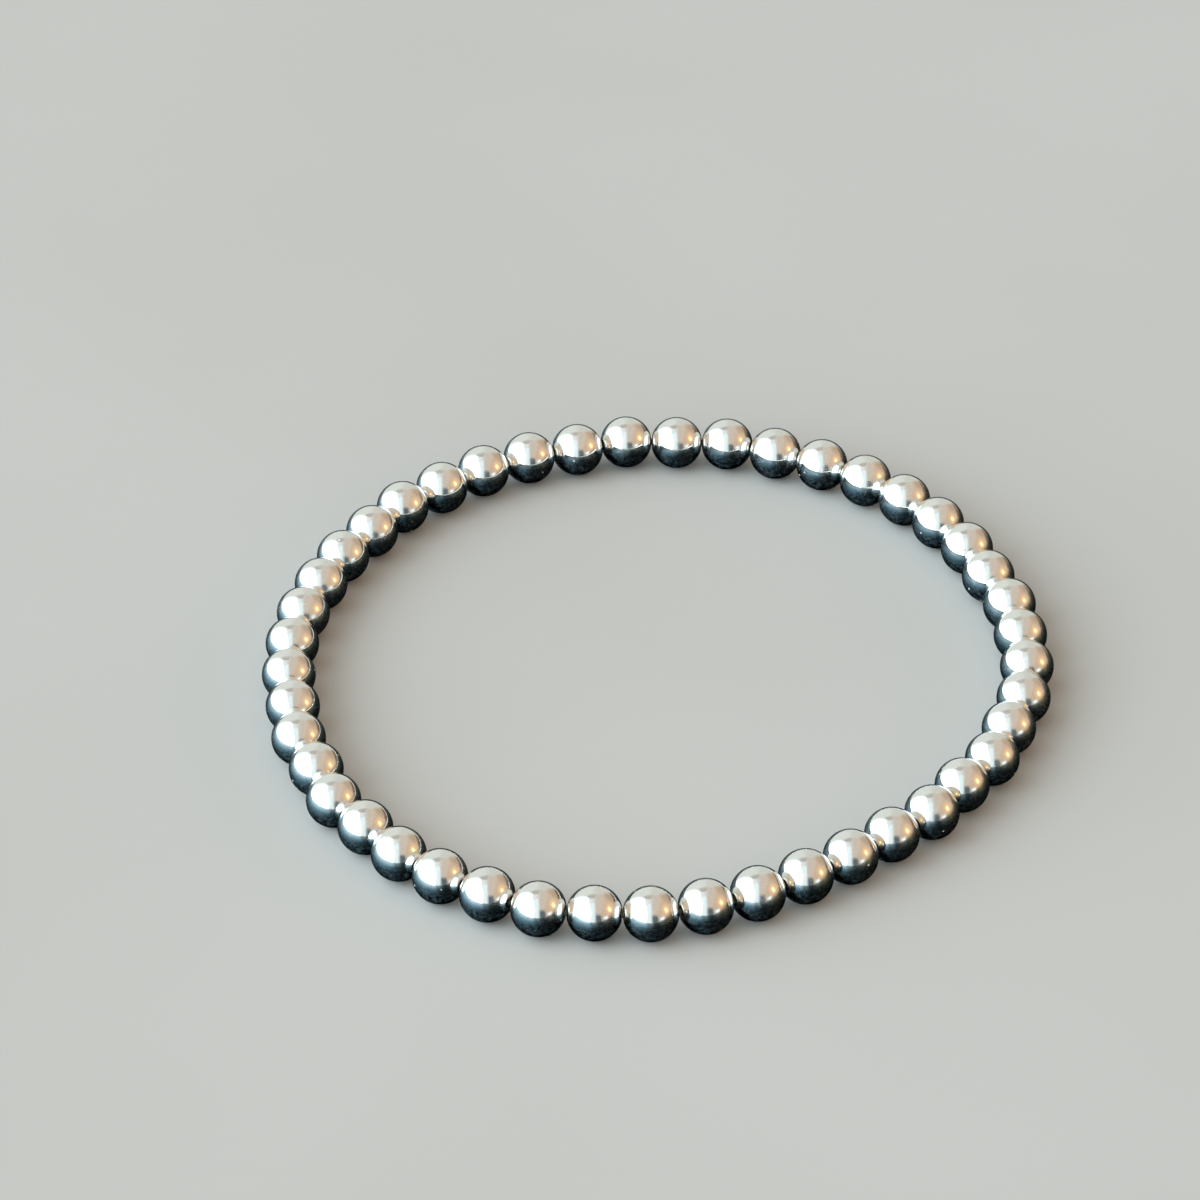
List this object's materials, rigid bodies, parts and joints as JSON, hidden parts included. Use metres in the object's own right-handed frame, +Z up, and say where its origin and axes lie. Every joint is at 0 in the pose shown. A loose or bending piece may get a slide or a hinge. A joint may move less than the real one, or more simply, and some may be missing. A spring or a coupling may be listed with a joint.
{
  "type": "bead bracelet",
  "caption": "Bracelet of small round mirror-polished metal beads, threaded side by side on a thin elastic ring that stretches over the hand, lying flat as one whole, slightly uneven loop.",
  "frame": {"origin": "in the middle of the loop's box, on the surface that the beads lie on", "axes": "+Z up out of the loop's plane, +Y along the loop's longer way, from the first bead's side to the far side, +X to the right"},
  "size_m": [0.0588, 0.0632, 0.004],
  "materials": {
    "polished_silver": "mirror-polished silver with fine rubbing marks",
    "elastic_thread": "clear stretch thread, slightly yellowed"
  },
  "bodies": {
    "root": {"bead_01": "polished_silver", "bead_02": "polished_silver", "bead_03": "polished_silver", "bead_04": "polished_silver", "bead_05": "polished_silver", "bead_06": "polished_silver", "bead_07": "polished_silver", "bead_08": "polished_silver", "bead_09": "polished_silver", "bead_10": "polished_silver", "bead_11": "polished_silver", "bead_12": "polished_silver", "bead_13": "polished_silver", "bead_14": "polished_silver", "bead_15": "polished_silver", "bead_16": "polished_silver", "bead_17": "polished_silver", "bead_18": "polished_silver", "bead_19": "polished_silver", "bead_20": "polished_silver", "bead_21": "polished_silver", "bead_22": "polished_silver", "bead_23": "polished_silver", "bead_24": "polished_silver", "bead_25": "polished_silver", "bead_26": "polished_silver", "bead_27": "polished_silver", "bead_28": "polished_silver", "bead_29": "polished_silver", "bead_30": "polished_silver", "bead_31": "polished_silver", "bead_32": "polished_silver", "bead_33": "polished_silver", "bead_34": "polished_silver", "bead_35": "polished_silver", "bead_36": "polished_silver", "bead_37": "polished_silver", "bead_38": "polished_silver", "bead_39": "polished_silver", "bead_40": "polished_silver", "bead_41": "polished_silver", "bead_42": "polished_silver", "bead_43": "polished_silver", "bead_44": "polished_silver", "bead_45": "polished_silver", "elastic": "elastic_thread"}
  },
  "joints": []
}
